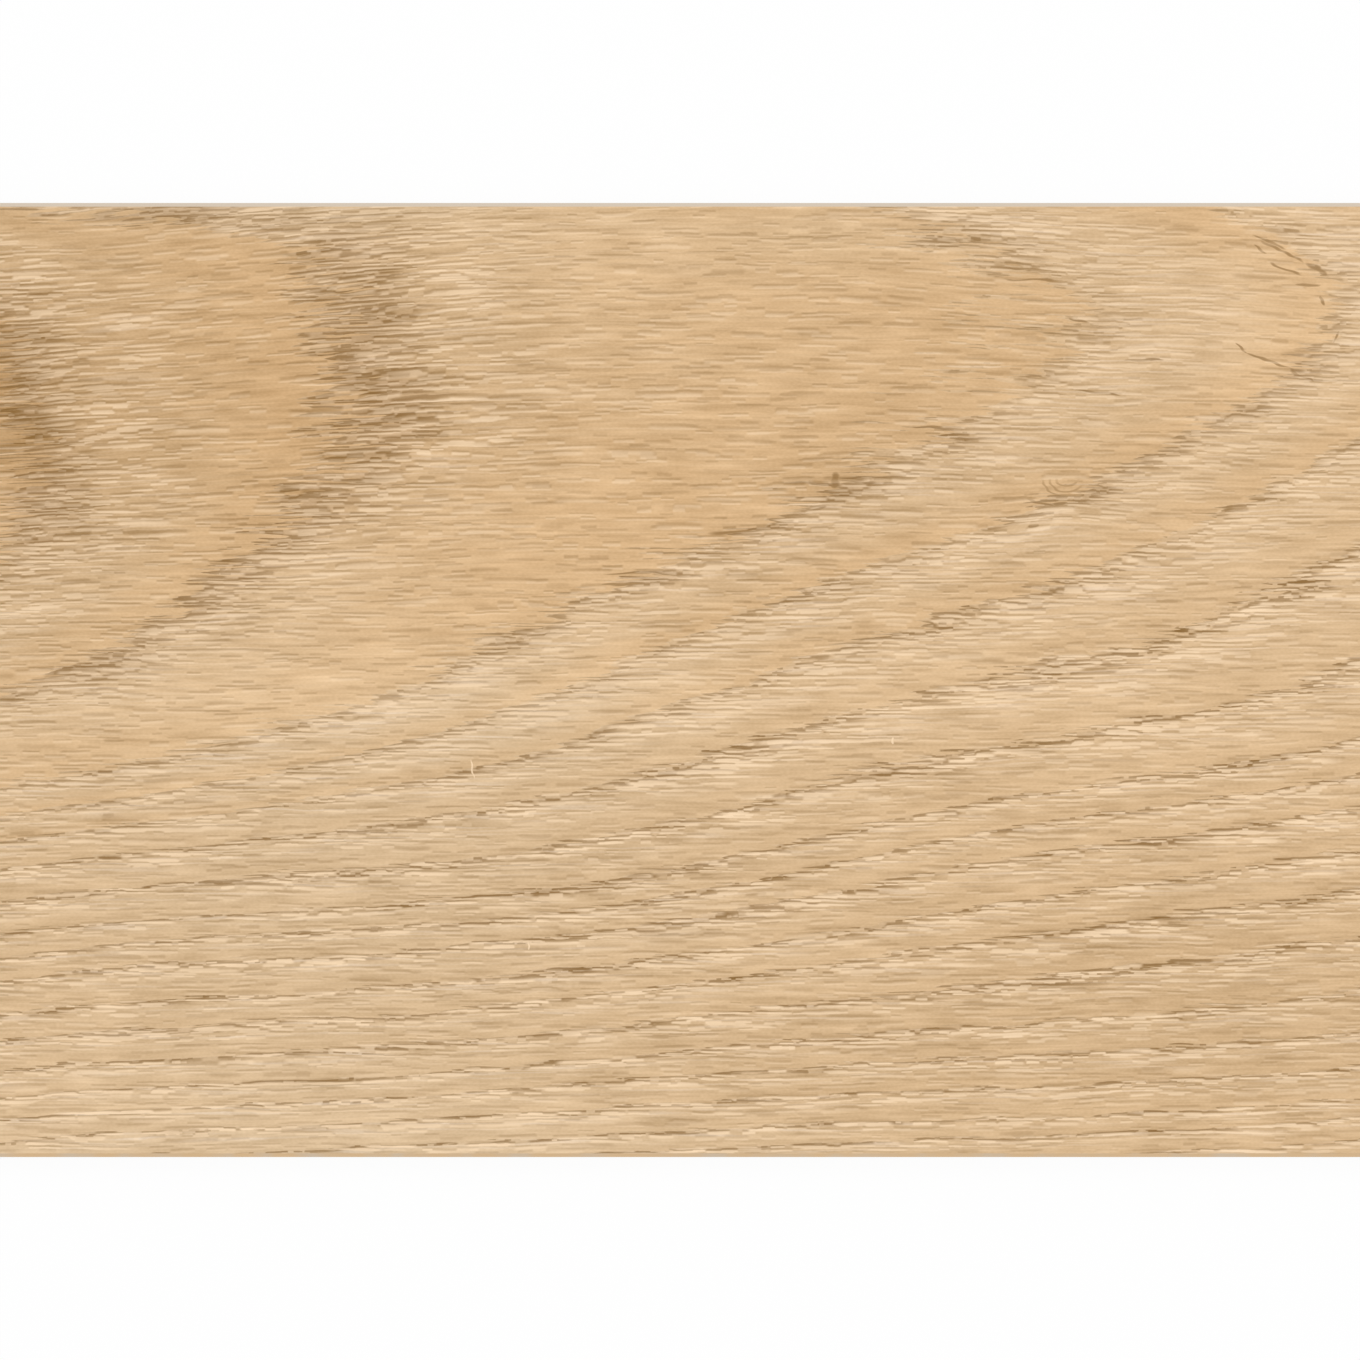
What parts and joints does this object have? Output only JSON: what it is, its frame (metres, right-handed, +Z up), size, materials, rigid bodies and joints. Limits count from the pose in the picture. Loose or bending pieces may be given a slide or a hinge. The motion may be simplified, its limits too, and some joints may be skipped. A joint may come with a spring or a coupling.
{
  "type": "herringbone vinyl plank",
  "caption": "Flat square-edged vinyl floor plank in the herringbone format, with a fine bevel round its oak-look printed face; glued down block against block.",
  "frame": {"origin": "centre of the glue face, which is the plank's underside", "axes": "+X along the plank's length and grain, +Y across its width, +Z up out of the printed face"},
  "size_m": [0.6, 0.12, 0.0025],
  "materials": {
    "oak_print_vinyl": "matte embossed oak print"
  },
  "bodies": {
    "root": {"vinyl_plank": "oak_print_vinyl"}
  },
  "joints": []
}
